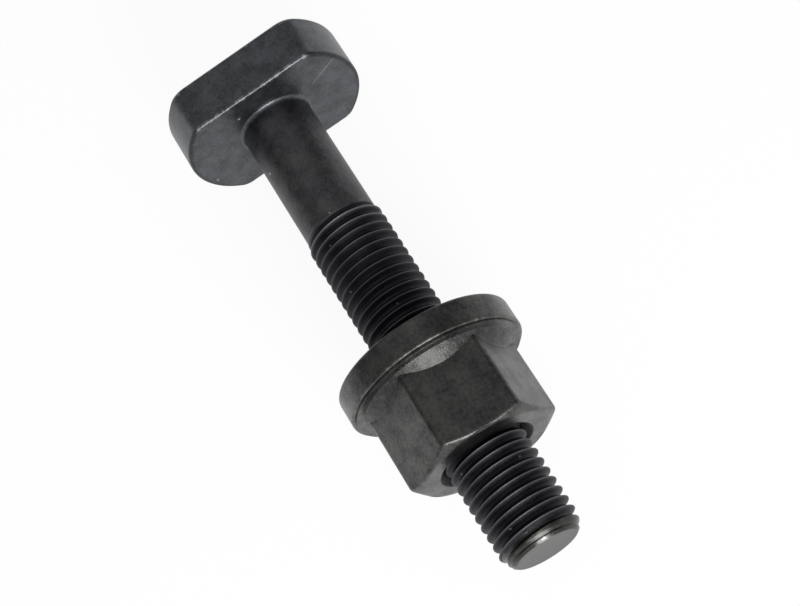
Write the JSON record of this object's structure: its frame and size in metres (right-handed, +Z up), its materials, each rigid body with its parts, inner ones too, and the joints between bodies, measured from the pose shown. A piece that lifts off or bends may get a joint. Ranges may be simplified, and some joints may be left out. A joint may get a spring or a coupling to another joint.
{
  "type": "t slot bolt",
  "caption": "T-slot bolt with a double-flatted round head and a threaded shank, carrying a hexagon nut with a wide round collar.",
  "frame": {"origin": "on the surface that the bolt lies on, under the middle of its overall box", "axes": "+X along the bolt from the head to the tip, +Z up from the surface, +Y across the bolt along the flats of the head. The bolt's own axis lies in the X-Z plane and leans tip up by about 3.3 degrees, as the bolt comes to rest on a flat of the head and the collar's rim"},
  "size_m": [0.111, 0.0372, 0.0354],
  "materials": {
    "bolt_black_oxide": "black oxide on forged and rolled steel, lightly worn at the edges",
    "nut_black_oxide": "black oxide on machined steel, satin, lightly worn at the edges"
  },
  "bodies": {
    "bolt": {"t_slot_bolt": "bolt_black_oxide"},
    "nut": {"collar_nut": "nut_black_oxide"}
  },
  "joints": [
    {"name": "nut_travel", "type": "slide", "parent": "bolt", "child": "nut", "axis": [0.9984, 0, 0.0568], "range_m": [-0.028, 0.02]}
  ]
}
